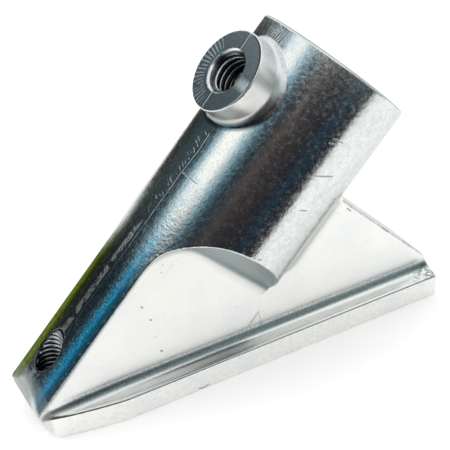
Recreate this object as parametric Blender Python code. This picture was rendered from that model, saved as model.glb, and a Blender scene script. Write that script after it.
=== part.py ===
"""Stanchion base: an inclined tube socket forged in one piece with its wedge web and flanged foot.

Frame: metres. +Z is up from the flat underside, +X runs along the foot from the toe towards the
socket mouth, and the XZ plane is both the plane of symmetry and the die parting plane.
"""

import math

import bmesh
import bpy
import numpy as np
from mathutils import Matrix, Vector

MM = 0.001

# --- socket tube ------------------------------------------------------------------------------
TILT = math.radians(45.0)  # socket axis above the underside
TUBE_R = 15.5 * MM  # 31 mm outside diameter
BORE_R = 12.75 * MM  # takes a 25 mm stanchion tube
BORE_DEPTH = 34.0 * MM  # blind socket, measured from the mouth
MOUTH = Vector((24.2, 0.0, 54.6)) * MM  # centre of the socket mouth
MOUTH_CHAMFER = 0.5 * MM

# --- clamp boss, square to the socket axis ----------------------------------------------------
BOSS_S = 12.5 * MM  # boss axis, from the mouth down the tube
BOSS_R = 7.95 * MM
BOSS_FACE = 19.6 * MM  # face height from the socket axis
CLAMP_HOLE_R = 3.6 * MM  # pitch radius of the M8 thread
CLAMP_SINK_R = 4.35 * MM  # countersink at the face

# --- wedge web and ridge ----------------------------------------------------------------------
WEB_HALF = 6.5 * MM  # half thickness of web and ridge
WEB_REAR_S = 19.4 * MM  # web's rear face, square to the tube, from the mouth
WALL_S = 41.85 * MM  # foot of the wall where the round tube ends in the flats
WALL_LEAN = math.radians(30.0)  # lean of that wall
WALL_RADIUS = 8.85 * MM  # where the wall sweeps round into the ridge edge

# --- flanged foot -----------------------------------------------------------------------------
FOOT_REAR = 43.8 * MM
FOOT_TOE = -43.8 * MM
FOOT_HALF = 10.0 * MM
FOOT_EDGE = 5.0 * MM  # height of the flange's outer edge
FOOT_ROOT = 7.2 * MM  # height at which the flange fillet reaches the web

# --- toe screw hole, square to the underside --------------------------------------------------
TOE_X = -37.75 * MM
TOE_HOLE_R = 2.65 * MM  # pitch radius of the M6 thread

# --- set screws -------------------------------------------------------------------------------
CLAMP_SCREW = dict(r=3.5 * MM, length=6.0 * MM, af=4.0 * MM, depth=2.6 * MM)
LOCK_SCREW = dict(r=2.56 * MM, length=8.0 * MM, af=3.0 * MM, depth=3.0 * MM)
CLAMP_SCREW_TOP = 14.7 * MM  # outer end of the screw, from the socket axis
LOCK_SCREW_FOOT = 0.4 * MM  # inner end of the screw, above the underside

AXIS = Vector((math.cos(TILT), 0.0, math.sin(TILT)))  # up the socket
SQUARE = Vector((-math.sin(TILT), 0.0, math.cos(TILT)))  # towards the boss
SIDE = Vector((0.0, 1.0, 0.0))


def at(s, q, y=0.0):
    """The point s down the socket axis from the mouth, q towards the boss and y to the side."""
    return MOUTH - AXIS * s + SQUARE * q + SIDE * y


def add_object(name, verts, faces):
    mesh = bpy.data.meshes.new(name)
    mesh.from_pydata([tuple(v) for v in verts], [], faces)
    bm = bmesh.new()
    bm.from_mesh(mesh)
    bmesh.ops.recalc_face_normals(bm, faces=bm.faces)
    bm.to_mesh(mesh)
    bm.free()
    ob = bpy.data.objects.new(name, mesh)
    bpy.context.scene.collection.objects.link(ob)
    return ob


def loft(name, sections):
    """A closed solid through equal-length loops of points, capped at both ends."""
    n = len(sections[0])
    verts = [p for loop in sections for p in loop]
    faces = [tuple(reversed(range(n))), tuple(range(len(verts) - n, len(verts)))]
    for k in range(len(sections) - 1):
        a, b = k * n, (k + 1) * n
        faces += [(a + i, a + (i + 1) % n, b + (i + 1) % n, b + i) for i in range(n)]
    return add_object(name, verts, faces)


def turned(name, origin, axis, across, profile, n):
    """A solid of revolution from (height, radius) pairs along axis."""
    other = axis.cross(across)
    loops = []
    for h, r in profile:
        ring = []
        for i in range(n):
            t = 2.0 * math.pi * (i + 0.5) / n
            ring.append(origin + axis * h + across * (r * math.cos(t)) + other * (r * math.sin(t)))
        loops.append(ring)
    return loft(name, loops)


def arc(centre, radius, start, end, n):
    """Points on a circular arc, angles in degrees."""
    out = []
    for i in range(n + 1):
        t = math.radians(start + (end - start) * i / n)
        out.append((centre[0] + radius * math.cos(t), centre[1] + radius * math.sin(t)))
    return out


def combine(target, other, operation):
    """One exact boolean, applied; the other solid is consumed."""
    other.hide_render = True
    other.display_type = "WIRE"
    mod = target.modifiers.new("cut", "BOOLEAN")
    mod.operation = operation
    mod.solver = "EXACT"
    mod.object = other
    bpy.context.view_layer.update()
    graph = bpy.context.evaluated_depsgraph_get()
    mesh = bpy.data.meshes.new_from_object(target.evaluated_get(graph))
    target.modifiers.clear()
    old = target.data
    target.data = mesh
    bpy.data.meshes.remove(old)
    bpy.data.objects.remove(other, do_unlink=True)


def material(name, colour, metallic, roughness):
    mat = bpy.data.materials.new(name)
    mat.use_nodes = True
    node = mat.node_tree.nodes["Principled BSDF"]
    node.inputs["Base Color"].default_value = (*colour, 1.0)
    node.inputs["Metallic"].default_value = metallic
    node.inputs["Roughness"].default_value = roughness
    return mat


def finish(ob, mat, angle=35.0):
    """Weld, tidy and shade one finished piece."""
    bm = bmesh.new()
    bm.from_mesh(ob.data)
    bmesh.ops.remove_doubles(bm, verts=bm.verts, dist=0.00001)
    bmesh.ops.dissolve_degenerate(bm, edges=bm.edges, dist=0.00001)
    bmesh.ops.triangulate(bm, faces=[f for f in bm.faces if len(f.verts) > 4])
    bmesh.ops.recalc_face_normals(bm, faces=bm.faces)
    for face in bm.faces:
        face.smooth = True
    for edge in bm.edges:
        sharp = len(edge.link_faces) == 2 and edge.calc_face_angle(0.0) > math.radians(angle)
        edge.smooth = not sharp
    bm.to_mesh(ob.data)
    bm.free()
    ob.data.name = ob.name
    ob.data.materials.clear()
    ob.data.materials.append(mat)


def pocket_cutter(side):
    """What is missing beside the ridge: flat floor, leaning wall, swept corner at the ridge edge."""
    top = 14.0 * MM
    deep, wide = WEB_HALF, 17.5 * MM
    lean = (wide - deep) * math.tan(WALL_LEAN)
    loops = []
    for y, shift in ((deep, 0.0), (wide, lean)):
        wall, radius = WALL_S - shift, WALL_RADIUS
        corner = arc((wall + radius, top - radius), radius, 180.0, 92.0, 8)
        far = [(68.0 * MM, 16.5 * MM), (114.0 * MM, 16.5 * MM), (114.0 * MM, -60.0 * MM)]
        outline = [(wall, -60.0 * MM)] + corner + far
        loops.append([at(s, q, side * y) for s, q in outline])
    return loft("pocket_cutter", loops)


def foot_half_at(x):
    """Half width of the foot in plan: parallel for most of its length, drawn in at the toe."""
    start = -27.2 * MM
    if x >= start:
        return FOOT_HALF
    t = (start - x) / (start - FOOT_TOE)
    return FOOT_HALF - 3.0 * MM * t**1.3 - 0.45 * MM * t**8


def foot():
    """The flange on both sides of the web: low outer edge, concave fillet up to the web."""
    stations = [FOOT_TOE, -42.6 * MM, -41.0 * MM, -39.0 * MM, -36.0 * MM, -33.0 * MM, -30.0 * MM]
    stations += [-27.2 * MM]
    stations += [0.0, FOOT_REAR]
    loops = []
    for x in stations:
        half = foot_half_at(x)
        inner = WEB_HALF - 0.8 * MM
        reach, rise = half - WEB_HALF, FOOT_ROOT - FOOT_EDGE
        side = []
        for k in range(6):  # from the outer edge inwards and up
            t = k / 5.0
            side.append((half - reach * (0.18 + 0.82 * t), FOOT_EDGE + rise * t**2.1))
        side[0] = (half - reach * 0.18, FOOT_EDGE + 0.06 * MM)
        right = [(half, 0.0), (half, FOOT_EDGE)] + side + [(inner, FOOT_ROOT + 0.6 * MM)]
        outline = right + [(-y, z) for y, z in reversed(right)]
        loops.append([Vector((x, y, z)) for y, z in outline])
    return loft("foot", loops)


def side_outline():
    """Outline of the whole forging below the tube, seen from the side: heel, underside, toe."""
    rear = at(WEB_REAR_S, 0.0)
    drop = (rear.x - FOOT_REAR) / -math.sin(TILT)  # distance down the rear face to the heel
    corner = Vector((FOOT_REAR, 0.0, rear.z - drop * math.cos(TILT)))
    before = corner + SQUARE * 1.6 * MM
    pts = [(before.x, before.z)]
    for k in range(1, 5):
        t = k / 5.0
        x = (1 - t) ** 2 * before.x + 2 * t * (1 - t) * corner.x + t * t * corner.x
        z = (1 - t) ** 2 * before.z + 2 * t * (1 - t) * corner.z + t * t * (corner.z - 1.6 * MM)
        pts.append((x, z))
    pts += [(FOOT_REAR, corner.z - 1.6 * MM), (FOOT_REAR, 0.35 * MM), (FOOT_REAR - 0.35 * MM, 0.0)]
    toe = [(3.9, 0.0), (2.1, 0.75), (0.95, 2.1), (0.3, 3.7), (0.0, 5.4), (0.05, 7.0)]
    toe += [(0.35, 8.3), (0.8, 9.3)]
    pts += [(FOOT_TOE + x * MM, z * MM) for x, z in toe]
    return pts


def build_forging(mat):
    n = 64
    # the tube, carried on down as the ridge
    body = turned(
        "socket_forging", MOUTH, -AXIS, SIDE, [(0.0, TUBE_R), (110.0 * MM, TUBE_R)], n
    )
    for side in (1.0, -1.0):
        combine(body, pocket_cutter(side), "DIFFERENCE")

    # the web below the tube
    outline = side_outline()
    web = outline[:-3]  # the top of the toe is the ridge's round surface alone
    inside = [at(84.0 * MM, 9.0 * MM), at(60.0 * MM, 4.0 * MM), at(WEB_REAR_S, -6.0 * MM)]
    web += [(p.x, p.z) for p in inside]
    loops = [[Vector((x, y, z)) for x, z in web] for y in (-WEB_HALF, WEB_HALF)]
    combine(body, loft("web", loops), "UNION")
    combine(body, foot(), "UNION")

    # toe and underside: keep only what lies inside the side outline
    high = at(-30 * MM, 60 * MM)
    keep = list(outline) + [(outline[-1][0], high.z), (high.x, high.z)]
    low = at(-30 * MM, -22.0 * MM)
    keep += [(low.x, low.z)]
    loops = [[Vector((x, y, z)) for x, z in keep] for y in (-40 * MM, 40 * MM)]
    combine(body, loft("keep", loops), "INTERSECT")

    # the clamp boss with its flared root
    root = at(BOSS_S, 0.0)
    flare = [(9.5, 9.6), (12.6, 9.45), (13.6, 8.9), (14.8, 8.4), (16.2, 8.05), (17.2, 7.97)]
    flare = [(h * MM, r * MM) for h, r in flare]
    flare += [(BOSS_FACE - 0.25 * MM, BOSS_R), (BOSS_FACE, BOSS_R - 0.25 * MM)]
    combine(body, turned("boss", root, SQUARE, AXIS, flare, 48), "UNION")

    # the blind socket, with its mouth eased
    bore = [(-2.0 * MM, BORE_R + MOUTH_CHAMFER), (0.0, BORE_R + MOUTH_CHAMFER)]
    bore += [(MOUTH_CHAMFER, BORE_R), (BORE_DEPTH, BORE_R)]
    combine(body, turned("bore", MOUTH, -AXIS, SIDE, bore, n), "DIFFERENCE")

    # tapped holes: square to the socket through the boss, and square to the underside at the toe
    sink = CLAMP_SINK_R - CLAMP_HOLE_R
    hole = [(6.0 * MM, CLAMP_HOLE_R), (BOSS_FACE - sink, CLAMP_HOLE_R)]
    hole += [(BOSS_FACE, CLAMP_SINK_R), (BOSS_FACE + 1.0 * MM, CLAMP_SINK_R + 1.0 * MM)]
    combine(body, turned("clamp_hole", root, SQUARE, AXIS, hole, 40), "DIFFERENCE")
    toe = Vector((TOE_X, 0.0, 0.0))
    hole = [(-3.0 * MM, TOE_HOLE_R), (40.0 * MM, TOE_HOLE_R)]
    up, fore = Vector((0, 0, 1)), Vector((1, 0, 0))
    combine(body, turned("toe_hole", toe, up, fore, hole, 40), "DIFFERENCE")
    finish(body, mat)
    return body


def set_screw(name, mat, size, foot_point, up, across):
    """A headless socket set screw with a cupped end, its hexagon socket open at the outer end."""
    r, length = size["r"], size["length"]
    ease = 0.5 * MM
    shank = [(0.0, r - 1.7 * ease), (1.5 * ease, r)]
    shank += [(length - ease, r), (length, r - ease)]
    body = turned(name, foot_point, up, across, shank, 40)
    corner = size["af"] / math.sqrt(3.0)
    socket = [(length - size["depth"], corner), (length + 1.0 * MM, corner)]
    combine(body, turned("hexagon", foot_point, up, across, socket, 6), "DIFFERENCE")
    cup = [(-1.0 * MM, 0.55 * r), (0.0, 0.55 * r), (0.7 * MM, 0.12 * r)]
    combine(body, turned("cup", foot_point, up, across, cup, 24), "DIFFERENCE")
    finish(body, mat)
    return body


for old in list(bpy.data.objects):
    bpy.data.objects.remove(old, do_unlink=True)

zinc = material("zinc_plated_steel", (0.62, 0.65, 0.66), 1.0, 0.28)
oxide = material("black_oxide_steel", (0.045, 0.045, 0.05), 0.8, 0.45)

build_forging(zinc)
set_screw(
    "tube_clamp_screw",
    oxide,
    CLAMP_SCREW,
    at(BOSS_S, CLAMP_SCREW_TOP - CLAMP_SCREW["length"]),
    SQUARE,
    AXIS,
)
set_screw(
    "rail_lock_screw",
    oxide,
    LOCK_SCREW,
    Vector((TOE_X, 0.0, LOCK_SCREW_FOOT)),
    Vector((0.0, 0.0, 1.0)),
    Vector((1.0, 0.0, 0.0)),
)
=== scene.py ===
"""Looks for the stanchion base: a fine forging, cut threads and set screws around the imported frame."""

import math

import bmesh
import bpy
import numpy as np
from mathutils import Matrix, Vector


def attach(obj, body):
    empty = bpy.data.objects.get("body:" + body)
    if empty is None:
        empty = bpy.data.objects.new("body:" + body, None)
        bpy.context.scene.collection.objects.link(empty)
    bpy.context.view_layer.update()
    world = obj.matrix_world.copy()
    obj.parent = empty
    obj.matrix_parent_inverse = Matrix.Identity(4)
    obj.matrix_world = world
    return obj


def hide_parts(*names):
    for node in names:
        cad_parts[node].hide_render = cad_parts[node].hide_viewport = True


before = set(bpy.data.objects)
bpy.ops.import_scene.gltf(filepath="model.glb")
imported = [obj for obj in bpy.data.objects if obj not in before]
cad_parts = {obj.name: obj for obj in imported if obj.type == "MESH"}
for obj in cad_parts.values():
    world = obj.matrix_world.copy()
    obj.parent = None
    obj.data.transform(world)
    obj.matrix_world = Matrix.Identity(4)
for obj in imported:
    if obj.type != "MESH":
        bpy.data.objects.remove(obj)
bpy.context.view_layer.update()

# ---------------------------------------------------------------------------------------------
# The forging's dimensions, in millimetres, in the frame's own axes
# ---------------------------------------------------------------------------------------------
TILT = math.radians(45.0)
CT, ST = math.cos(TILT), math.sin(TILT)
MOUTH_X, MOUTH_Z = 24.2, 54.6
TUBE_R, BORE_R, BORE_DEPTH = 15.5, 12.75, 34.0
WEB_HALF = 6.5
WEB_REAR_S = 19.4
WALL_S, WALL_SWEEP = 41.85, 8.85
RIDGE_Q = 14.4
FOOT_END = 43.8
FOOT_HALF, FOOT_EDGE = 10.0, 5.0
BOSS_S, BOSS_R, BOSS_FACE = 12.5, 7.95, 19.6
SINK_R = 4.35
TOE_X, TOE_R = -37.75, 3.05
LOCK_FOOT, LOCK_LEN = 0.4, 8.0
CLAMP_TOP, CLAMP_LEN = 14.7, 6.0

POCKET_LEAN, POCKET_CORNER = math.radians(30.0), 1.7
WEB_TOP_Q, WEB_FILLET = 9.0, 3.3
FOOT_TAPER_X, FOOT_TAPER_LENGTH = -27.2, 16.6
FOOT_SLOPE, FOOT_FILLET = 0.20, 1.7
TOE_BOW, TOE_BOW_Z, TOE_BOW_TOP = 0.092, 6.0, 11.0
BOSS_FILLET = 1.3

AXIS = np.array([CT, 0.0, ST])
SQUARE = np.array([-ST, 0.0, CT])
MOUTH = np.array([MOUTH_X, 0.0, MOUTH_Z])


def tube_coords(x, z):
    """Distance down the socket from its mouth, and height from its axis towards the boss."""
    dx, dz = x - MOUTH_X, z - MOUTH_Z
    return (dx * CT + dz * ST) * -1.0, dz * CT - dx * ST


def both(a, b, r):
    """Intersection of two fields with an edge rounded to radius r."""
    return np.minimum(-r, np.maximum(a, b)) + np.hypot(np.maximum(a + r, 0), np.maximum(b + r, 0))


def either(a, b, r):
    """Union of two fields with a fillet of radius r."""
    return np.maximum(r, np.minimum(a, b)) - np.hypot(np.maximum(r - a, 0), np.maximum(r - b, 0))


def smooth(t):
    """Smooth rise from 0 to 1 as t does the same."""
    t = np.clip(t, 0.0, 1.0)
    return t * t * (3.0 - 2.0 * t)


def foot_half(x):
    """Half width of the foot in plan."""
    t = np.clip((FOOT_TAPER_X - x) / FOOT_TAPER_LENGTH, 0.0, 1.0)
    return FOOT_HALF - 3.0 * t**1.3 - 0.45 * t**8


def forging(x, y, z):
    """Signed distance to the forging's surface, in millimetres, negative inside."""
    w = np.abs(y)
    s, q = tube_coords(x, z)
    r = np.hypot(q, w)
    tube = r - TUBE_R

    # beside the ridge: flat floor, leaning wall, corner swept round into the ridge edge
    u, v = s - (WALL_S + WALL_SWEEP), q - (RIDGE_Q - WALL_SWEEP)
    swept = np.where(u >= 0, v - WALL_SWEEP, np.hypot(u, v) - WALL_SWEEP)
    edge = np.where(v <= 0, WALL_S - s, swept)
    wall = (edge - (w - WEB_HALF) * math.tan(POCKET_LEAN)) * math.cos(POCKET_LEAN)
    pocket = both(WEB_HALF - w, wall, POCKET_CORNER)
    body = both(tube, -pocket, 0.22)
    body = both(body, -s, 0.45)

    # the web: flush with the pocket's floor, rear face square to the tube, heel turning down to the foot
    rear = both(WEB_REAR_S - s, x - FOOT_END, 1.6)
    web = both(w - WEB_HALF, rear, 0.7)
    web = np.maximum(web, q - WEB_TOP_Q)
    fillet = 0.01 + WEB_FILLET * smooth((WALL_S - s) / 8.0)  # beside the tube only
    body = either(body, web, fillet)

    # the foot: low edge, sloping top, concave fillet up to the web
    half = foot_half(x)
    top = (z - FOOT_EDGE - (half - w) * FOOT_SLOPE) * 0.98
    foot = both(w - half, top, 0.4)
    body = either(body, foot, FOOT_FILLET)

    # toe, heel and underside
    rise = np.minimum(z, TOE_BOW_TOP) - TOE_BOW_Z
    toe = (-FOOT_END + TOE_BOW * rise * rise - x) / np.sqrt(1 + (2 * TOE_BOW * rise) ** 2)
    body = both(body, toe, 0.3)
    body = both(body, x - FOOT_END, 0.5)
    body = both(body, -z, 0.45)

    # clamp boss
    around = np.hypot(s - BOSS_S, w)
    boss = np.maximum(both(around - BOSS_R, q - BOSS_FACE, 0.28), -q)
    body = either(body, boss, BOSS_FILLET)

    # socket and screw holes
    bore = both(r - BORE_R, s - BORE_DEPTH, 1.0)
    body = both(body, -bore, 0.45)
    body = both(body, np.minimum(SINK_R - around, q), 0.1)
    body = both(body, TOE_R - np.hypot(x - TOE_X, w), 0.1)
    return body


def gradient(field, p, e=0.02):
    """The field's slope at each point, by central differences."""
    g = np.empty_like(p)
    for k in range(3):
        d = np.zeros(3)
        d[k] = e
        a, b = p + d, p - d
        g[:, k] = (field(a[:, 0], a[:, 1], a[:, 2]) - field(b[:, 0], b[:, 1], b[:, 2])) / (2 * e)
    return g


def surface_of(field, low, high, step):
    """Quads of the field's zero surface, by one vertex in each grid cell that the surface crosses."""
    axes = [np.arange(low[k], high[k] + step, step) for k in range(3)]
    nx, ny, nz = (len(a) for a in axes)
    val = np.empty((nx, ny, nz), np.float32)
    for i in range(0, nx, 24):
        gx, gy, gz = np.meshgrid(axes[0][i : i + 24], axes[1], axes[2], indexing="ij")
        val[i : i + 24] = field(gx, gy, gz)

    # each crossed cell's vertex is the mean of the points where the surface cuts the cell's edges
    neg = val < 0
    count = np.zeros((nx - 1, ny - 1, nz - 1), np.int8)
    corners = [(i, j, k) for i in (0, 1) for j in (0, 1) for k in (0, 1)]
    for i, j, k in corners:
        count += neg[i : nx - 1 + i, j : ny - 1 + j, k : nz - 1 + k]
    cells = np.argwhere((count > 0) & (count < 8))
    index = np.full(count.shape, -1, np.int32)
    index[tuple(cells.T)] = np.arange(len(cells))
    total, hits = np.zeros((len(cells), 3)), np.zeros(len(cells))
    for a in corners:
        for k in range(3):
            if a[k]:
                continue
            b = list(a)
            b[k] = 1
            va = val[cells[:, 0] + a[0], cells[:, 1] + a[1], cells[:, 2] + a[2]]
            vb = val[cells[:, 0] + b[0], cells[:, 1] + b[1], cells[:, 2] + b[2]]
            cross = (va < 0) != (vb < 0)
            t = np.where(cross, va / np.where(va == vb, 1, va - vb), 0)
            at = np.tile(np.array(a, float), (len(cells), 1))
            at[:, k] = t
            total += at * cross[:, None]
            hits += cross
    verts = (cells + total / hits[:, None]) * step + np.array([a[0] for a in axes])

    # each grid edge that the surface crosses joins the four cells round it with a quad
    quads = []
    for k in range(3):
        near, far = [slice(1, -1)] * 3, [slice(1, -1)] * 3
        near[k], far[k] = slice(0, -1), slice(1, None)
        a, b = neg[tuple(near)], neg[tuple(far)]
        m, n = (k + 1) % 3, (k + 2) % 3
        for flip in (False, True):
            at = np.argwhere((a & ~b) if not flip else (~a & b))
            for c in (m, n):
                at[:, c] += 1
            ring = []
            for dm, dn in ((0, 0), (1, 0), (1, 1), (0, 1)):
                c = at.copy()
                c[:, m] -= 1 - dm
                c[:, n] -= 1 - dn
                ring.append(index[tuple(c.T)])
            ring = np.stack(ring, 1)
            quads.append(ring[:, ::-1] if flip else ring)
    return verts, np.concatenate(quads)


def add_mesh(name, verts, faces):
    """A smooth-shaded mesh object from millimetre coordinates."""
    mesh = bpy.data.meshes.new(name)
    mesh.from_pydata([], [], [])
    v, f = np.asarray(verts, np.float32) * 0.001, np.asarray(faces, np.int32)
    mesh.vertices.add(len(v))
    mesh.vertices.foreach_set("co", v.ravel())
    mesh.loops.add(f.size)
    mesh.loops.foreach_set("vertex_index", f.ravel())
    mesh.polygons.add(len(f))
    mesh.polygons.foreach_set("loop_start", np.arange(len(f), dtype=np.int32) * f.shape[1])
    mesh.polygons.foreach_set("use_smooth", np.ones(len(f), bool))
    mesh.update(calc_edges=True)
    mesh.validate()
    ob = bpy.data.objects.new(name, mesh)
    bpy.context.scene.collection.objects.link(ob)
    return ob


def coords_of(mesh):
    """A mesh's vertices, in millimetres."""
    v = np.empty(len(mesh.vertices) * 3, np.float32)
    mesh.vertices.foreach_get("co", v)
    return v.reshape(-1, 3).astype(float) * 1000.0


def thin_out(ob, ratio):
    """Merge the fine grid where the surface is flat or gently curved."""
    mod = ob.modifiers.new("thin", "DECIMATE")
    mod.ratio = ratio
    graph = bpy.context.evaluated_depsgraph_get()
    mesh = bpy.data.meshes.new_from_object(ob.evaluated_get(graph))
    ob.modifiers.clear()
    ob.data = mesh
    mesh.polygons.foreach_set("use_smooth", np.ones(len(mesh.polygons), bool))


STEP = 0.28
GRID_LOW, GRID_HIGH = (-44.9, -16.6, -1.2), (44.9, 16.6, 67.2)
KEPT_FACES = 0.35
verts, quads = surface_of(forging, GRID_LOW, GRID_HIGH, STEP)
for _ in range(3):  # settle the vertices on the surface itself
    g = gradient(forging, verts)
    value = forging(verts[:, 0], verts[:, 1], verts[:, 2])
    move = value[:, None] * g / np.maximum((g * g).sum(1), 0.25)[:, None]
    length = np.linalg.norm(move, axis=1)
    verts -= move * np.minimum(1, 0.5 * STEP / np.maximum(length, 1e-9))[:, None]
body = add_mesh("forged_body", verts, quads)
thin_out(body, KEPT_FACES)

# exact normals from the field, so that reflections run smoothly over the thinned mesh
points = coords_of(body.data)
normals = gradient(forging, points)
normals /= np.maximum(np.linalg.norm(normals, axis=1, keepdims=True), 1e-9)
body.data.normals_split_custom_set_from_vertices([tuple(n) for n in normals])


# ---------------------------------------------------------------------------------------------
# Cut threads: sleeves in the two tapped holes, and the set screws that run in them
# ---------------------------------------------------------------------------------------------
def thread_radius(minor, major, pitch, turn, height):
    """Internal thread form: rounded root, narrow flat crest, 60 degree flanks."""
    phase = np.abs(2.0 * ((height / pitch - turn) % 1.0) - 1.0)
    return major - (major - minor) * smooth((phase - 0.1) / 0.72)


def ring_mesh(name, rows):
    """A closed solid from rings of points, row after row back to the first."""
    rows = np.asarray(rows)
    m, n = rows.shape[:2]
    i, j = np.meshgrid(np.arange(m), np.arange(n), indexing="ij")
    a, b = i * n + j, i * n + (j + 1) % n
    c, d = ((i + 1) % m) * n + (j + 1) % n, ((i + 1) % m) * n + j
    ob = add_mesh(name, rows.reshape(-1, 3), np.stack([a, b, c, d], -1).reshape(-1, 4))
    bm = bmesh.new()
    bm.from_mesh(ob.data)
    bmesh.ops.recalc_face_normals(bm, faces=bm.faces)
    bm.to_mesh(ob.data)
    bm.free()
    return ob


def place(base, up, across, height, radius, turn):
    """Points at height and radius about the axis up through base, turn in revolutions."""
    angle = 2 * np.pi * np.asarray(turn)
    flat = np.cos(angle)[..., None] * across + np.sin(angle)[..., None] * np.cross(up, across)
    return base + np.asarray(height)[..., None] * up + np.asarray(radius)[..., None] * flat


TURNS = 120  # points in a ring
SLEEVE_RINGS, SCREW_RINGS = 180, 120
SCREW_GAP = 0.11
M8 = dict(minor=3.39, major=4.02, pitch=1.25)
M6 = dict(minor=2.48, major=3.02, pitch=1.0)
turn = np.arange(TURNS) / TURNS
UP, FORE = np.array([0.0, 0.0, 1.0]), np.array([1.0, 0.0, 0.0])
BOSS_BASE = MOUTH - AXIS * BOSS_S
TOE_BASE = np.array([TOE_X, 0.0, 0.0])


def sleeve(name, base, up, across, size, low, high, outer, sink):
    """The threaded wall of a tapped hole, its ends following the surfaces that the hole breaks."""
    rows = []
    for k in range(SLEEVE_RINGS + 1):
        h = low + (high - low) * k / SLEEVE_RINGS
        r = thread_radius(size["minor"], size["major"], size["pitch"], turn, h)
        r = np.maximum(r, sink(h))
        rows.append(place(base, up, across, h, r, turn))
    for k in range(SLEEVE_RINGS, -1, -12):
        h = low + (high - low) * k / SLEEVE_RINGS
        rows.append(place(base, up, across, h, np.full(TURNS, outer), turn))
    return ring_mesh(name, rows)


# the M8 hole runs from the bore's wall to the boss's face, with a countersink at the face
low8 = np.sqrt(BORE_R**2 - (4.2 * np.sin(2 * np.pi * turn)) ** 2) + 0.04
high8 = np.full(TURNS, BOSS_FACE - 0.1)
clamp_thread = sleeve(
    "clamp_hole_thread", BOSS_BASE, SQUARE, AXIS, M8, low8, high8, 4.6,
    lambda h: SINK_R - (high8 - h) * 0.9,
)
# the M6 hole runs from the underside to the ridge, which slopes across it
x6 = TOE_X + 3.1 * np.cos(2 * np.pi * turn)
y6 = 3.1 * np.sin(2 * np.pi * turn)
ridge6 = MOUTH_Z + (x6 - MOUTH_X) * math.tan(TILT) + np.sqrt(TUBE_R**2 - y6**2) / CT
low6, high6 = np.full(TURNS, 0.06), ridge6 - 0.06
toe_thread = sleeve(
    "toe_hole_thread", TOE_BASE, UP, FORE, M6, low6, high6, 3.25,
    lambda h: M6["major"] - np.minimum(h - low6, high6 - h) * 1.1,
)


def set_screw(name, base, up, across, size, foot, length, af, depth):
    """A socket set screw: threaded barrel with chamfered ends, hexagon socket and cupped point."""
    rows, top = [], foot + length

    def ring(height, radius):
        height, radius = height + np.zeros(TURNS), radius + np.zeros(TURNS)
        rows.append(place(base, up, across, height, radius, turn))

    for k in range(SCREW_RINGS + 1):
        h = foot + length * k / SCREW_RINGS
        r = thread_radius(size["minor"], size["major"], size["pitch"], turn, h) - SCREW_GAP
        end = np.minimum(h - foot, foot + length - h)
        ring(h, np.minimum(r, size["minor"] - 0.35 + end * 1.2))
    # the socket: a flared mouth, its corners cut a little, then straight down to a drilled bottom
    corner = af / math.sqrt(3.0)
    face = ((turn * 6) % 1.0 - 0.5) * math.pi / 3
    hexagon = corner * math.cos(math.pi / 6) / np.cos(face)
    ring(top, hexagon * 1.09)
    ring(top - 0.12, np.minimum(hexagon, corner * 0.985))
    for d in (0.25, depth * 0.6, depth):
        ring(top - d, hexagon)
    for d, k in ((0.25, 0.6), (0.6, 0.12)):
        ring(top - (depth + d), corner * k)
    # down the axis, and out again round the cupped point
    ring(top - depth - 0.62, 0.01)
    ring(foot + 0.9, 0.01)
    for d, k in ((0.75, 0.1), (0.4, 0.5), (0.06, 1.0), (0.0, 1.1)):
        ring(foot + d, size["minor"] * 0.55 * k)
    return ring_mesh(name, rows)


clamp_screw = set_screw(
    "clamp_screw_body", BOSS_BASE, SQUARE, AXIS, M8, CLAMP_TOP - CLAMP_LEN, CLAMP_LEN, 4.0, 2.6
)
lock_screw = set_screw(
    "lock_screw_body", TOE_BASE, UP, FORE, M6, LOCK_FOOT, LOCK_LEN, 3.0, 3.0
)
for ob in (clamp_screw, lock_screw, clamp_thread, toe_thread):
    mod = ob.modifiers.new("edges", "EDGE_SPLIT")
    mod.split_angle = math.radians(50)


# ---------------------------------------------------------------------------------------------
# Materials
# ---------------------------------------------------------------------------------------------
class Sock:
    """A number in a node tree, so that masks and heights read as arithmetic."""

    def __init__(self, tree, socket):
        self.tree, self.socket = tree, socket

    def math(self, op, *args):
        node = self.tree.nodes.new("ShaderNodeMath")
        node.operation = op
        for i, v in enumerate((self, *args)):
            if isinstance(v, Sock):
                self.tree.links.new(v.socket, node.inputs[i])
            else:
                node.inputs[i].default_value = v
        return Sock(self.tree, node.outputs[0])

    def __add__(self, o):
        return self.math("ADD", o)

    def __radd__(self, o):
        return self.math("ADD", o)

    def __sub__(self, o):
        return self.math("SUBTRACT", o)

    def __rsub__(self, o):
        return (self * -1.0) + o

    def __mul__(self, o):
        return self.math("MULTIPLY", o)

    def abs(self):
        return self.math("ABSOLUTE")

    def step(self, a, b):
        """Smooth rise from 0 at a to 1 at b."""
        node = self.tree.nodes.new("ShaderNodeMapRange")
        node.interpolation_type = "SMOOTHSTEP"
        self.tree.links.new(self.socket, node.inputs["Value"])
        lo, hi, start, end = (a, b, 0.0, 1.0) if a < b else (b, a, 1.0, 0.0)
        node.inputs["From Min"].default_value = lo
        node.inputs["From Max"].default_value = hi
        node.inputs["To Min"].default_value = start
        node.inputs["To Max"].default_value = end
        return Sock(self.tree, node.outputs["Result"])

    def band(self, a, b, soft):
        """1 between a and b, with edges that are soft by this much to either side."""
        return self.step(a - soft, a + soft) * self.step(b + soft, b - soft)


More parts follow.
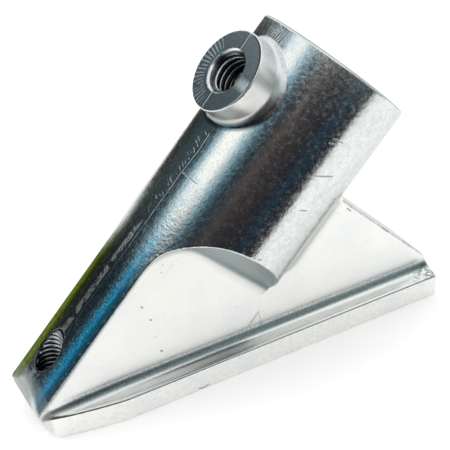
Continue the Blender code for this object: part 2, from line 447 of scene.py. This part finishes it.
class Tree:
    """Short names for the nodes that the materials below are made of."""

    def __init__(self, tree):
        self.tree = tree

    def node(self, kind, **values):
        n = self.tree.nodes.new(kind)
        for k, v in values.items():
            setattr(n, k, v)
        return n

    def link(self, value, target):
        self.tree.links.new(value.socket if isinstance(value, Sock) else value, target)

    def position(self):
        """x, y, z on the object, in millimetres."""
        coord = self.node("ShaderNodeTexCoord")
        split = self.node("ShaderNodeSeparateXYZ")
        self.tree.links.new(coord.outputs["Object"], split.inputs[0])
        return [Sock(self.tree, o) * 1000.0 for o in split.outputs]

    def vector(self, x, y, z):
        join = self.node("ShaderNodeCombineXYZ")
        for i, v in enumerate((x, y, z)):
            if isinstance(v, Sock):
                self.tree.links.new(v.socket, join.inputs[i])
            else:
                join.inputs[i].default_value = v
        return join.outputs[0]

    def noise(self, vec, scale=1.0, detail=2.0, rough=0.5):
        n = self.node("ShaderNodeTexNoise")
        self.tree.links.new(vec, n.inputs["Vector"])
        n.inputs["Scale"].default_value = scale
        n.inputs["Detail"].default_value = detail
        n.inputs["Roughness"].default_value = rough
        return Sock(self.tree, n.outputs["Fac"])

    def cells(self, vec, scale=1.0):
        """Distance to the nearest of a scatter of points."""
        n = self.node("ShaderNodeTexVoronoi")
        self.tree.links.new(vec, n.inputs["Vector"])
        n.inputs["Scale"].default_value = scale
        return Sock(self.tree, n.outputs["Distance"])

    def colours(self, fac, stops):
        """A ramp through the stops, each a place from 0 to 1 and a colour."""
        n = self.node("ShaderNodeValToRGB")
        ramp = n.color_ramp
        while len(ramp.elements) < len(stops):
            ramp.elements.new(0.5)
        for e, (p, c) in zip(ramp.elements, stops):
            e.position, e.color = p, (*c, 1.0)
        self.tree.links.new(fac.socket, n.inputs[0])
        return n.outputs["Color"]

    def mix(self, fac, a, b):
        """Colour a, turning to colour b as fac goes from 0 to 1."""
        n = self.node("ShaderNodeMix", data_type="RGBA")
        self.tree.links.new(fac.socket, n.inputs[0])
        for i, v in ((6, a), (7, b)):
            if isinstance(v, tuple):
                n.inputs[i].default_value = (*v, 1.0)
            else:
                self.tree.links.new(v, n.inputs[i])
        return n.outputs[2]

    def paint(self, colour, coats):
        """Coats of colour over a base, each a mask and its colour, the last one on top."""
        for mask, tone in coats:
            colour = self.mix(mask, colour, tone)
        return colour

    def bump(self, height):
        """A normal for a height in millimetres."""
        n = self.node("ShaderNodeBump")
        n.inputs["Distance"].default_value = 0.001
        n.inputs["Strength"].default_value = 1.0
        self.tree.links.new(height.socket, n.inputs["Height"])
        return n.outputs["Normal"]


def metal(name):
    """A new metal, with its tree's helper and its shader node."""
    mat = bpy.data.materials.new(name)
    mat.use_nodes = True
    shader = mat.node_tree.nodes["Principled BSDF"]
    shader.inputs["Metallic"].default_value = 1.0
    return mat, Tree(mat.node_tree), shader


def scratches(t, u, v, angle, spacing, length, seed, keep):
    """Sparse fine lines at an angle on the chart (u, v), both in millimetres."""
    c, s = math.cos(math.radians(angle)), math.sin(math.radians(angle))
    along, across = u * c + v * s, v * c - u * s
    stretched = t.vector(along * (1.0 / length), across * (1.0 / spacing), seed)
    return t.noise(stretched, 1.0, 1.0, 0.4).step(keep, keep + 0.07)


def nick(u, v, place, length, angle, width):
    """A short straight mark on the chart (u, v), centred on its place and turned by an angle."""
    dx, dy = math.cos(math.radians(angle)), math.sin(math.radians(angle))
    du, dv = u - place[0], v - place[1]
    along = (du * dx + dv * dy).math("MAXIMUM", -0.5 * length).math("MINIMUM", 0.5 * length)
    off_u, off_v = du - along * dx, dv - along * dy
    return (off_u * off_u + off_v * off_v).math("SQRT").step(width, width * 0.35)


def struck(u, v, nicks, width):
    """All the nicks of a list together."""
    first, *rest = [nick(u, v, *each, width) for each in nicks]
    for mask in rest:
        first = first + mask
    return first


# each nick's place, length and direction, in millimetres and degrees
TUBE_NICKS = [  # placed down from the mouth and round from the ridge
    ((17.5, 24.0), 4.0, 115), ((36.0, 23.5), 0.6, 120), ((24.5, 25.0), 1.5, 110),
    ((11.0, 22.0), 2.0, 100), ((12.0, 21.5), 1.5, 105), ((31.5, 3.5), 4.0, 90),
]
FLAT_NICKS = [  # placed in x and z
    ((-21.5, 21.5), 0.4, -55), ((-20.0, 18.0), 0.2, -30), ((-18.5, 10.0), 0.4, -35),
    ((23.5, 26.5), 1.2, -45), ((32.5, 18.5), 2.0, -45),
    ((-12.5, 0.6), 1.1, -15), ((-11.5, 0.65), 1.1, 20),
]


def forged_zinc():
    """Bright zinc with a blue passivate: hammered skin on the tube and ridge, smooth pressed flats,
    a ground-off flash line on the parting plane, ribbed boss face."""
    mat, t, shader = metal("forged_zinc")
    x, y, z = t.position()
    s, q = tube_coords(x, z)
    w = y.abs()
    r = (q * q + y * y).math("SQRT")
    around = (y * -1.0).math("ARCTAN2", q) * TUBE_R  # 0 on the ridge line, positive on the -Y side
    here = t.vector(x, y, z)
    geo = t.node("ShaderNodeNewGeometry")
    parts = t.node("ShaderNodeSeparateXYZ")
    t.link(geo.outputs["Normal"], parts.inputs[0])
    steep = Sock(t.tree, parts.outputs[2])  # 1 where the surface faces straight up

    # zones of the surface
    skin = r.band(TUBE_R - 0.35, TUBE_R + 0.3, 0.12) * s.step(0.2, 0.5)
    skin = skin * s.step(WALL_S + 0.35, WALL_S + 0.1).math("MAXIMUM", q.step(11.0, 12.5))
    top = q.step(8.0, 10.0)
    boss_r = ((s - BOSS_S) * (s - BOSS_S) + y * y).math("SQRT")
    face = q.step(BOSS_FACE - 1.0, BOSS_FACE - 0.75) * boss_r.step(BOSS_R - 0.1, BOSS_R - 0.45)
    inside = r.step(BORE_R + 0.25, BORE_R + 0.05) * s.step(BORE_DEPTH + 0.6, BORE_DEPTH + 0.3)
    mouth = s.step(0.25, 0.1)
    low_edge = z.step(FOOT_EDGE + 0.1, FOOT_EDGE - 0.4)
    foot_top = w.step(WEB_HALF + 0.5, WEB_HALF + 1.0) * z.band(4.6, 6.6, 0.3)
    flat_zone = (1.0 - skin) * (1.0 - inside) * (1.0 - face)

    # broad colour: clean zinc with a bluish film on the tube and neutral flats
    blotch = t.noise(here, 0.11, 3.0, 0.55)
    fine = t.noise(here, 0.9, 3.0, 0.6)
    shade = blotch * 0.7 + fine * 0.3
    bluish = t.colours(
        shade, [(0.32, (0.72, 0.78, 0.83)), (0.5, (0.84, 0.87, 0.88)), (0.66, (0.88, 0.87, 0.84))]
    )
    neutral = t.colours(
        shade, [(0.32, (0.81, 0.83, 0.825)), (0.5, (0.875, 0.875, 0.855)), (0.66, (0.90, 0.89, 0.85))]
    )
    # greyer, in patches, round the tube's sides and underside
    under = around.abs().step(15.5, 19.5) * skin
    side_patches = t.noise(here, 0.8, 4.0, 0.65)
    colour = t.paint(bluish, [
        ((flat_zone + under).math("MINIMUM", 1.0), neutral),
        (under * (0.35 + side_patches.step(0.36, 0.66) * 0.5), (0.66, 0.69, 0.675)),
    ])

    # down the ridge towards the toe: painted shade, dark on top, in specks and along the flat's edge; a
    # painted reflection of the blue card beside it, and a painted reflection of an olive surround on the
    # other side
    ragged = t.noise(here, 0.7, 3.0, 0.65) * 6.0 - 3.0
    speck = t.noise(here, 2.6, 2.0, 0.65)
    low = (s + ragged * 1.6).step(44.0, 56.0)
    # painted shade: dark top, dark specks and a dark edge line
    ridge_top_shade = (around + ragged * 0.3).band(-6.0, 3.4, 0.9) * low * top
    ridge_speck_shade = around.band(2.6, 6.4, 0.4) * low * speck.step(0.53, 0.42) * (1.0 - s.step(66.0, 80.0) * 0.5)
    ridge_edge_shade = (around + ragged * 0.16).step(5.1, 5.7) * low * skin * top
    edge = around + ragged * 0.10
    # painted reflection of the blue card
    blue = (edge + s.step(60.0, 80.0) * 0.9).step(4.3, 4.9) * edge.step(5.9, 5.4)
    blue = blue * low * speck.step(0.40, 0.52) * skin
    # painted reflection of an olive surround on the +Y side, which also tints the specular
    olive_reflection = (around + ragged * 0.3).step(-2.0, -3.4) * (s + ragged).step(44.0, 54.0) * skin
    t.link(t.mix(olive_reflection, neutral, (0.30, 0.34, 0.12)), shader.inputs["Specular Tint"])

    # dull clouds and freckles, painted shade at the boss's root and in the fillet along the foot and low on
    # the web by the toe, and dark patches at the heel
    freckle = t.noise(here, 3.3, 3.0, 0.7)
    cloudy = t.noise(here, 1.2, 4.0, 0.72)
    # painted shade in the fillet round the boss's root
    root = boss_r.band(BOSS_R + 0.15, BOSS_R + 1.5, 0.3) * q.band(12.0, TUBE_R + 1.6, 0.3)
    root = root * s.step(13.0, 17.0)
    # painted shade in the concave fillet between the foot and the web
    foot_fillet_shade = steep.band(0.22, 0.80, 0.07) * z.band(4.9, 9.5, 0.4) * w.step(WEB_HALF - 0.1, WEB_HALF + 0.1)
    foot_fillet_shade = foot_fillet_shade * (0.62 + freckle.step(0.6, 0.4) * 0.3) * x.step(-42.0, -36.0)
    # painted shade low on the web's flanks near the toe
    web_foot_shade = z.step(8.3, 6.9) * z.step(5.0, 5.6) * steep.step(0.4, 0.2) * x.step(-41.0, -34.0)
    web_foot_shade = web_foot_shade * w.step(WEB_HALF + 0.25, WEB_HALF + 0.1) * (0.3 + freckle.step(0.6, 0.42) * 0.6)
    # dark cloudy patches on the foot's top and fillet at the heel
    heel_dark = x.step(36.5, 42.5) * z.band(4.7, 7.6, 0.4) * w.step(WEB_HALF, WEB_HALF + 0.3)
    heel_dark = heel_dark * cloudy.step(0.44, 0.60)

    colour = t.paint(colour, [
        # painted shade and painted reflections along the ridge
        (ridge_top_shade * 0.7, (0.16, 0.19, 0.20)),
        (ridge_speck_shade * skin * 0.8, (0.10, 0.14, 0.16)),
        (ridge_edge_shade * (0.35 + speck.step(0.4, 0.55) * 0.5), (0.10, 0.13, 0.15)),
        (blue * 0.5, (0.10, 0.52, 0.78)),
        (olive_reflection * 0.9, (0.155, 0.18, 0.05)),
        (cloudy.step(0.52, 0.36) * skin * 0.35, (0.42, 0.47, 0.50)),
        (freckle.step(0.54, 0.40) * skin * 0.30, (0.40, 0.45, 0.49)),
        (face * (0.45 + freckle.step(0.6, 0.42) * 0.4), (0.34, 0.42, 0.46)),
        # painted shade at the boss's root
        (root * 0.8, (0.16, 0.19, 0.20)),
        # painted shade along the foot's fillet and low on the web
        ((foot_fillet_shade + web_foot_shade * 0.8).math("MINIMUM", 0.92), (0.22, 0.30, 0.31)),
        (heel_dark * 0.8, (0.09, 0.10, 0.11)),
    ])

    # hammered skin, fine scratches and bright specks
    dents = t.noise(t.vector(s, around, 0.0), 1.15, 2.0, 0.5)
    peel = t.noise(here, 2.1, 1.0, 0.5)
    grain = t.noise(here, 4.4, 2.0, 0.6)
    lines = scratches(t, s, around, 24, 0.10, 2.4, 3.0, 0.70)
    for angle, length, seed in ((-52, 2.0, 9.0), (84, 2.2, 15.0)):
        lines = lines + scratches(t, s, around, angle, 0.10, length, seed, 0.71)
    lines = (lines * skin).math("MINIMUM", 1.0)
    glint = t.cells(here, 1.5).step(0.16, 0.05) * t.noise(here, 0.5, 1.0).step(0.5, 0.62) * skin
    glint = glint * (around.band(1.0, 9.0, 1.5) * s.step(34.0, 44.0) * 0.9 + 0.1)

    # ground flash line: short oblique file marks along the ridge, wide above and fine towards the toe
    wander = t.noise(t.vector(s, 0.0, 4.0), 0.12, 2.0, 0.5) * 1.6 - 0.8
    strip = (y + wander).abs().step(1.7, 1.1) * top * skin * boss_r.step(10.2, 11.2)
    jitter = t.noise(t.vector(s * 0.9, y * 0.3, 7.0), 1.0, 1.0, 0.5)
    patchy = t.noise(t.vector(s * 0.6, y * 0.5, 3.0), 1.0, 2.0, 0.55)
    tooth = ((s + y * 0.8) * 13.5 + jitter * 3.0).math("SINE")
    coarse = ((s + y * 0.5) * 7.2 + jitter * 5.0).math("SINE")
    fine_row = tooth.step(-0.1, 0.7) * (y + wander * 0.3).abs().step(0.85, 0.4) * s.step(41.0, 46.0)
    fine_row = fine_row * (patchy.step(0.40, 0.56) * 0.9 + 0.1)
    wide_row = coarse.step(0.2, 0.9) * patchy.step(0.44, 0.58) * s.step(44.0, 38.0)
    wide_row = wide_row * (y + wander * 0.4).abs().step(1.15, 0.6) * 0.8
    marks = (fine_row + wide_row).math("MINIMUM", 1.0) * strip
    edge_line = (y + wander * 0.6 + 1.5).abs().step(0.16, 0.04) * top * skin * boss_r.step(10.2, 11.2)

    # ribs on the far half of the boss face and beside the mouth, and the flash line over the face
    spoke = (s - BOSS_S).math("ARCTAN2", y)  # 0 towards +Y, a quarter turn towards the toe
    shake = t.noise(t.vector(spoke * 3.0, boss_r * 0.4, 2.0), 1.0, 1.0, 0.5)
    rib = (spoke * 52.0 + shake * 5.0).math("SINE")
    ribs = rib.step(-0.3, 0.7) * face * boss_r.step(4.7, 5.4) * spoke.band(-0.6, 1.5, 0.2)
    ribs = ribs * shake.step(0.30, 0.42)
    rim = ((y - s * 0.25) * 9.5 + shake * 4.0).math("SINE")
    rim_marks = rim.step(0.0, 0.8) * skin * (y * -1.0).band(-2.2, 3.0, 0.5) * s.band(1.0, 5.0, 0.6)
    seam = (y + (s - BOSS_S) * 0.05 + jitter * 0.3 - 0.15).abs().step(0.3, 0.06) * face
    facet = face * y.step(0.1, -0.1) * (s - BOSS_S).step(2.0, -1.0)

    # flats: faint pits, scuffs, and a few nicks where they were knocked
    pits = t.cells(here, 0.42).step(0.085, 0.03) * t.noise(here, 0.35, 1.0).step(0.48, 0.56)
    pits = pits * flat_zone
    scuff = scratches(t, x, z, 35, 0.1, 5.0, 30.0, 0.735) + scratches(t, x, z, -12, 0.1, 4.0, 41.0, 0.74)
    scuff = scuff * flat_zone
    cast = t.noise(here, 1.6, 3.0, 0.6)
    near = y.step(-5.0, -6.0)
    nicks = struck(s, around, TUBE_NICKS, 0.15) * skin
    chips = struck(x, z, FLAT_NICKS, 0.2) * near * (1.0 - skin)
    nicks = (nicks + chips).math("MINIMUM", 1.0)
    shine = nick(x, z, (1.5, 9.2), 3.2, 45, 0.22) + nick(x, z, (3.0, 8.2), 3.2, 100, 0.13)
    shine = shine * near * (1.0 - skin)

    # the foot's edge, the toe's nose, painted shade on the pocket's wall, the trim lines, and the rims with
    # a painted dark line on the mouth's rim
    rind = w.step(WEB_HALF + 1.2, WEB_HALF + 1.6) * low_edge
    nose = x.step(-41.2, -42.0) * (1.0 - rind * 0.3)
    # painted shade on the pocket's leaning wall, blue-grey
    wall = (s - 39.4).abs().step(4.2, 2.6) * w.step(WEB_HALF + 0.3, WEB_HALF + 1.0)
    wall = wall * (1.0 - skin) * q.step(-16.0, -14.0) * z.step(8.0, 10.0)
    stretch = t.noise(t.vector(x * 0.16, z * 7.0, 5.0), 1.0, 3.0, 0.6)
    trim = z.band(5.135, 5.185, 0.02) * stretch.step(0.42, 0.52)
    trim = foot_top * (trim + z.band(5.27, 5.29, 0.02) * stretch.step(0.54, 0.46))
    frayed = t.noise(t.vector(q * 0.9, y * 0.3, 8.0), 1.0, 3.0, 0.7)
    rear_edge = (s - WEB_REAR_S - 0.15).abs().step(0.32, 0.12) * (1.0 - skin) * q.step(-16.0, -17.0)
    rear_edge = rear_edge * (0.4 + frayed.step(0.45, 0.62) * 0.6)
    # painted shade: a dark line on the mouth's rounded rim
    lip = s.step(0.26, 0.12) * r.step(TUBE_R - 0.9, TUBE_R - 0.6)
    mottle = t.noise(here, 1.1, 4.0, 0.65)

    colour = t.paint(colour, [
        ((pits * 0.6 + scuff * 0.12 + nicks * 0.75).math("MINIMUM", 0.85), (0.23, 0.22, 0.21)),
        (trim * 0.5, (0.32, 0.38, 0.39)),
        (rear_edge * 0.8, (0.22, 0.24, 0.25)),
        # painted shade on the mouth's rim
        (lip * 0.75, (0.20, 0.22, 0.23)),
        (marks * 0.35, (0.95, 0.95, 0.93)),
        (edge_line * 0.5, (0.2, 0.22, 0.24)),
        # painted shade on the pocket's wall
        (wall * 0.75, (0.36, 0.46, 0.49)),
        # painted shade on the mouth's end face
        (mouth * s.step(0.06, 0.02) * 0.6, (0.30, 0.31, 0.31)),
        (nose * (0.3 + mottle.step(0.4, 0.65) * 0.35), (0.58, 0.62, 0.62)),
        (rind * mottle.step(0.42, 0.66) * 0.22, (0.50, 0.53, 0.52)),
    ])
    t.link(colour, shader.inputs["Base Color"])

    rough = 0.10 + fine * 0.08 + skin * (dents.step(0.45, 0.75) * 0.04)
    rough = rough + skin * (freckle.step(0.42, 0.66) * 0.03 + cloudy.step(0.42, 0.68) * 0.11)
    rough = rough + lines * 0.05 + (ribs + rim_marks) * 0.2 + marks * 0.12 + inside * 0.16 + face * 0.18
    rough = rough + flat_zone * (0.14 + cast * 0.08) + mouth * 0.25 + nose * 0.16 - foot_top * 0.09
    t.link(rough, shader.inputs["Roughness"])

    rugged = s.step(20.0, 44.0)
    hammered = dents * (0.014 + rugged * 0.010) + peel * (0.009 + rugged * 0.010)
    height = skin * (hammered + grain * (0.005 + rugged * 0.006))
    height = height - lines * 0.002 + glint * 0.03
    height = height + marks * 0.04 - ribs * 0.04 - rim_marks * 0.030 + seam * 0.07 - edge_line * 0.03
    height = height + facet * y * 0.06
    height = height + flat_zone * (cast * 0.006) - pits * 0.03 - scuff * 0.006
    height = height + (rind + nose + foot_top * 0.9) * (mottle * 0.03) - nicks * 0.06 + shine * 0.08
    height = height + inside * (t.noise(t.vector(s * 2.4, around * 0.15, 0.0), 1.0, 2.0) * 0.01)
    t.link(t.bump(height), shader.inputs["Normal"])
    return mat


def cut_zinc():
    """Zinc in the cut threads: bright crests, painted shade in the dark roots, and painted shade darker
    with depth.
    """
    mat, t, shader = metal("cut_thread_zinc")
    x, y, z = t.position()
    here = t.vector(x, y, z)
    grime = t.noise(here, 1.4, 3.0, 0.6)
    s, q = tube_coords(x, z)
    over, fore = s - BOSS_S, x - TOE_X
    clamp_r = (over * over + y * y).math("SQRT")
    toe_r = (fore * fore + y * y).math("SQRT")
    at_boss = x.step(-24.0, -22.0)
    crest = clamp_r.step(3.66, 3.44) * at_boss + toe_r.step(2.76, 2.58) * (1.0 - at_boss)
    sunk = clamp_r.step(4.03, 4.1) * at_boss
    bright = (crest + sunk).math("MINIMUM", 1.0)
    # painted shade deeper in each hole
    depth_shade = q.step(18.6, 15.6) * at_boss + z.step(14.2, 10.6) * (1.0 - at_boss)
    bright = bright * (1.0 - depth_shade * 0.75)
    # painted shade in the thread roots
    roots = t.colours(grime, [(0.35, (0.07, 0.075, 0.08)), (0.7, (0.15, 0.155, 0.16))])
    crests = t.colours(grime, [(0.3, (0.78, 0.80, 0.82)), (0.7, (0.92, 0.93, 0.93))])
    t.link(t.mix(bright, roots, crests), shader.inputs["Base Color"])
    t.link(0.16 + grime * 0.18, shader.inputs["Roughness"])
    height = t.noise(here, 5.0, 2.0, 0.6) * 0.004
    t.link(t.bump(height), shader.inputs["Normal"])
    return mat


def black_oxide():
    """Blackened alloy steel with an oil film and rubbed edges."""
    mat, t, shader = metal("black_oxide")
    x, y, z = t.position()
    here = t.vector(x, y, z)
    patch = t.noise(here, 0.9, 3.0, 0.6)
    colour = t.colours(
        patch, [(0.3, (0.035, 0.034, 0.036)), (0.6, (0.075, 0.075, 0.085)), (0.85, (0.12, 0.11, 0.10))]
    )
    geo = t.node("ShaderNodeNewGeometry")
    rub = Sock(t.tree, geo.outputs["Pointiness"]).step(0.53, 0.6) * patch.step(0.35, 0.6)
    t.link(t.mix(rub * 0.5, colour, (0.45, 0.44, 0.43)), shader.inputs["Base Color"])
    t.link(0.28 + patch * 0.22, shader.inputs["Roughness"])
    height = t.noise(here, 4.0, 3.0, 0.6) * 0.006
    t.link(t.bump(height), shader.inputs["Normal"])
    return mat


zinc = forged_zinc()
thread_zinc = cut_zinc()
oxide = black_oxide()
body.data.materials.append(zinc)
for ob in (clamp_thread, toe_thread):
    ob.data.materials.append(thread_zinc)
for ob in (clamp_screw, lock_screw):
    ob.data.materials.append(oxide)

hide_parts("socket_forging")
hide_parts("tube_clamp_screw")
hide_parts("rail_lock_screw")
for ob in (body, clamp_thread, toe_thread):
    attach(ob, "base")
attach(clamp_screw, "clamp_screw")
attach(lock_screw, "lock_screw")


# ---------------------------------------------------------------------------------------------
# Stage: pale floor, and a small tent of cards round the part that only reflections meet
# ---------------------------------------------------------------------------------------------
def plain(name, values):
    """A one-colour material for the stage, from its shader's input values."""
    mat = bpy.data.materials.new(name)
    mat.use_nodes = True
    for key, value in values.items():
        mat.node_tree.nodes["Principled BSDF"].inputs[key].default_value = value
    return mat


def reflected_only(ob):
    """Leave the object for reflections only."""
    ob.visible_camera = False
    ob.visible_diffuse = False
    ob.visible_shadow = False


FLOOR_Z, FLOOR_HALF = -0.05, 2e4
corners = [(a * FLOOR_HALF, b * FLOOR_HALF, FLOOR_Z) for a, b in ((-1, -1), (1, -1), (1, 1), (-1, 1))]
floor = add_mesh("floor", corners, [(0, 1, 2, 3)])
floor.data.materials.append(plain("paper", {
    "Base Color": (0.95, 0.95, 0.945, 1), "Roughness": 0.9, "Specular IOR Level": 0.1,
    "Emission Color": (1.0, 1.0, 1.0, 1), "Emission Strength": 0.18,
}))

TENT_R = 0.19
bm = bmesh.new()
bmesh.ops.create_uvsphere(bm, u_segments=96, v_segments=48, radius=TENT_R)
mesh = bpy.data.meshes.new("tent")
bm.to_mesh(mesh)
bm.free()
mesh.polygons.foreach_set("use_smooth", np.ones(len(mesh.polygons), bool))
tent = bpy.data.objects.new("tent", mesh)
tent.location = (0.0, 0.0, 0.03)
bpy.context.scene.collection.objects.link(tent)
tent_mat = bpy.data.materials.new("tent_cards")
tent_mat.use_nodes = True
t = Tree(tent_mat.node_tree)
t.tree.nodes.clear()
coord = t.node("ShaderNodeTexCoord")
split = t.node("ShaderNodeSeparateXYZ")
t.link(coord.outputs["Object"], split.inputs[0])
px, py, pz = (Sock(t.tree, o) * (1.0 / TENT_R) for o in split.outputs)
square = pz * CT - px * ST
ahead = px * CT + pz * ST  # 1 straight out of the socket's mouth, -1 straight down the tube
psi = (py * -1.0).math("ARCTAN2", square) * (0.5 / math.pi) + 0.5


def deg(a):
    """Where an angle round the tube falls on a ramp: 0 is above the ridge, positive the -Y side."""
    return (a + 180.0) / 360.0


bands = [
    (deg(-172), (0.75, 0.76, 0.76)), (deg(-156), (0.34, 0.36, 0.32)), (deg(-128), (0.24, 0.25, 0.21)),
    (deg(-104), (0.08, 0.085, 0.07)), (deg(-84), (0.030, 0.034, 0.030)), (deg(-62), (0.040, 0.060, 0.064)),
    (deg(-44), (0.045, 0.075, 0.085)), (deg(-34), (0.022, 0.035, 0.044)), (deg(-27), (0.055, 0.13, 0.17)),
    (deg(-20), (0.45, 0.64, 0.72)), (deg(-12), (1.25, 1.25, 1.18)), (deg(2), (1.25, 1.24, 1.16)),
    (deg(11), (0.42, 0.62, 0.70)), (deg(20), (0.055, 0.13, 0.17)), (deg(30), (0.022, 0.034, 0.045)),
    (deg(40), (0.060, 0.050, 0.047)), (deg(46), (0.10, 0.08, 0.072)), (deg(52), (0.050, 0.040, 0.038)),
    (deg(70), (0.030, 0.026, 0.030)), (deg(82), (0.016, 0.020, 0.030)), (deg(91), (0.018, 0.046, 0.075)),
    (deg(99), (0.012, 0.02, 0.032)), (deg(179), (0.012, 0.015, 0.022)),
]
glow = t.colours(psi, bands)
# towards the toe: one narrow blue card on a dark ground, and pale from the +Y side to below
low_bands = [
    (deg(-174), (0.80, 0.82, 0.80)), (deg(-152), (0.60, 0.62, 0.60)), (deg(-130), (0.70, 0.72, 0.70)),
    (deg(-104), (0.85, 0.87, 0.82)), (deg(-86), (0.75, 0.77, 0.70)), (deg(-76), (0.08, 0.09, 0.07)),
    (deg(-64), (0.022, 0.026, 0.028)), (deg(-30), (0.026, 0.034, 0.038)), (deg(-18), (0.03, 0.08, 0.11)),
    (deg(-12), (0.014, 0.40, 0.64)), (deg(-7), (0.014, 0.40, 0.64)), (deg(-2), (0.03, 0.10, 0.14)),
    (deg(4), (0.025, 0.04, 0.05)), (deg(60), (0.030, 0.028, 0.030)), (deg(179), (0.012, 0.015, 0.022)),
]
# towards the mouth, which the foot and the web's fillets see: pale, with a dim teal card in front
foot_bands = [
    (0.0, (0.55, 0.60, 0.60)), (0.06, (0.38, 0.44, 0.44)), (0.13, (0.24, 0.29, 0.29)),
    (0.18, (0.13, 0.17, 0.17)), (0.205, (0.26, 0.31, 0.31)), (0.235, (1.0, 1.03, 1.03)),
    (1.0, (0.95, 0.97, 0.97)),
]
foot_side = ahead.step(0.2, 0.4)
glow = t.paint(glow, [
    (ahead.step(-0.12, -0.2), t.colours(psi, low_bands)),
    (ahead.step(-0.52, -0.60), (0.46, 0.50, 0.50)),
    (foot_side, t.colours(py * 0.5 + 0.5, foot_bands)),
    (foot_side * pz.step(0.55, 0.75) * 0.8, (1.0, 1.03, 1.03)),
    (pz.step(0.86, 0.93), (0.85, 0.87, 0.88)),
])
emit = t.node("ShaderNodeEmission")
t.link(glow, emit.inputs["Color"])
emit.inputs["Strength"].default_value = 1.0
out = t.node("ShaderNodeOutputMaterial")
t.link(emit.outputs[0], out.inputs["Surface"])
tent.data.materials.append(tent_mat)
reflected_only(tent)
tent.visible_transmission = False

# a dark card lying on the floor in front
outline = [(-300, -60), (-30, -60), (8, -68), (47, -122), (150, -265), (150, -600), (-300, -600)]
card = add_mesh("front_card", [(a, b, 0.1) for a, b in outline], [(0, 6, 5, 4, 3, 2, 1)])
card.data.materials.append(plain("front_card", {
    "Base Color": (0.02, 0.02, 0.025, 1), "Specular IOR Level": 0.0,
}))
reflected_only(card)

world = bpy.data.worlds.new("world")
bpy.context.scene.world = world
world.use_nodes = True
world.node_tree.nodes["Background"].inputs["Color"].default_value = (1.0, 1.0, 1.0, 1.0)
world.node_tree.nodes["Background"].inputs["Strength"].default_value = 1.0

LENS, SENSOR = 89.241, 36.0
AIM, DISTANCE = Vector((-0.000275, 0.0, 0.028)), 0.21043
azimuth, elevation, roll = (math.radians(a) for a in (-27.81, 33.32, -3.06))
back = Vector(
    (math.sin(azimuth) * math.cos(elevation), -math.cos(azimuth) * math.cos(elevation), math.sin(elevation))
)
right = Vector((math.cos(azimuth), math.sin(azimuth), 0.0))
up = back.cross(right)
right, up = right * math.cos(roll) + up * math.sin(roll), up * math.cos(roll) - right * math.sin(roll)
camera = bpy.data.objects.new("camera", bpy.data.cameras.new("camera"))
camera.data.lens, camera.data.sensor_width = LENS, SENSOR
camera.data.clip_start, camera.data.clip_end = 0.01, 100.0
turned = Matrix((right, up, back)).transposed().to_4x4()
camera.matrix_world = Matrix.Translation(AIM + back * DISTANCE) @ turned
bpy.context.scene.collection.objects.link(camera)
bpy.context.scene.camera = camera

lamp = bpy.data.lights.new("key", "AREA")
lamp.energy, lamp.size = 1.5, 0.7
key = bpy.data.objects.new("key", lamp)
key.location = (-0.55, 0.1, 0.75)
key.rotation_euler = key.location.to_track_quat("Z", "Y").to_euler()
key.visible_glossy = False
bpy.context.scene.collection.objects.link(key)

bpy.context.scene.view_settings.view_transform = "Standard"
bpy.context.scene.view_settings.look = "None"
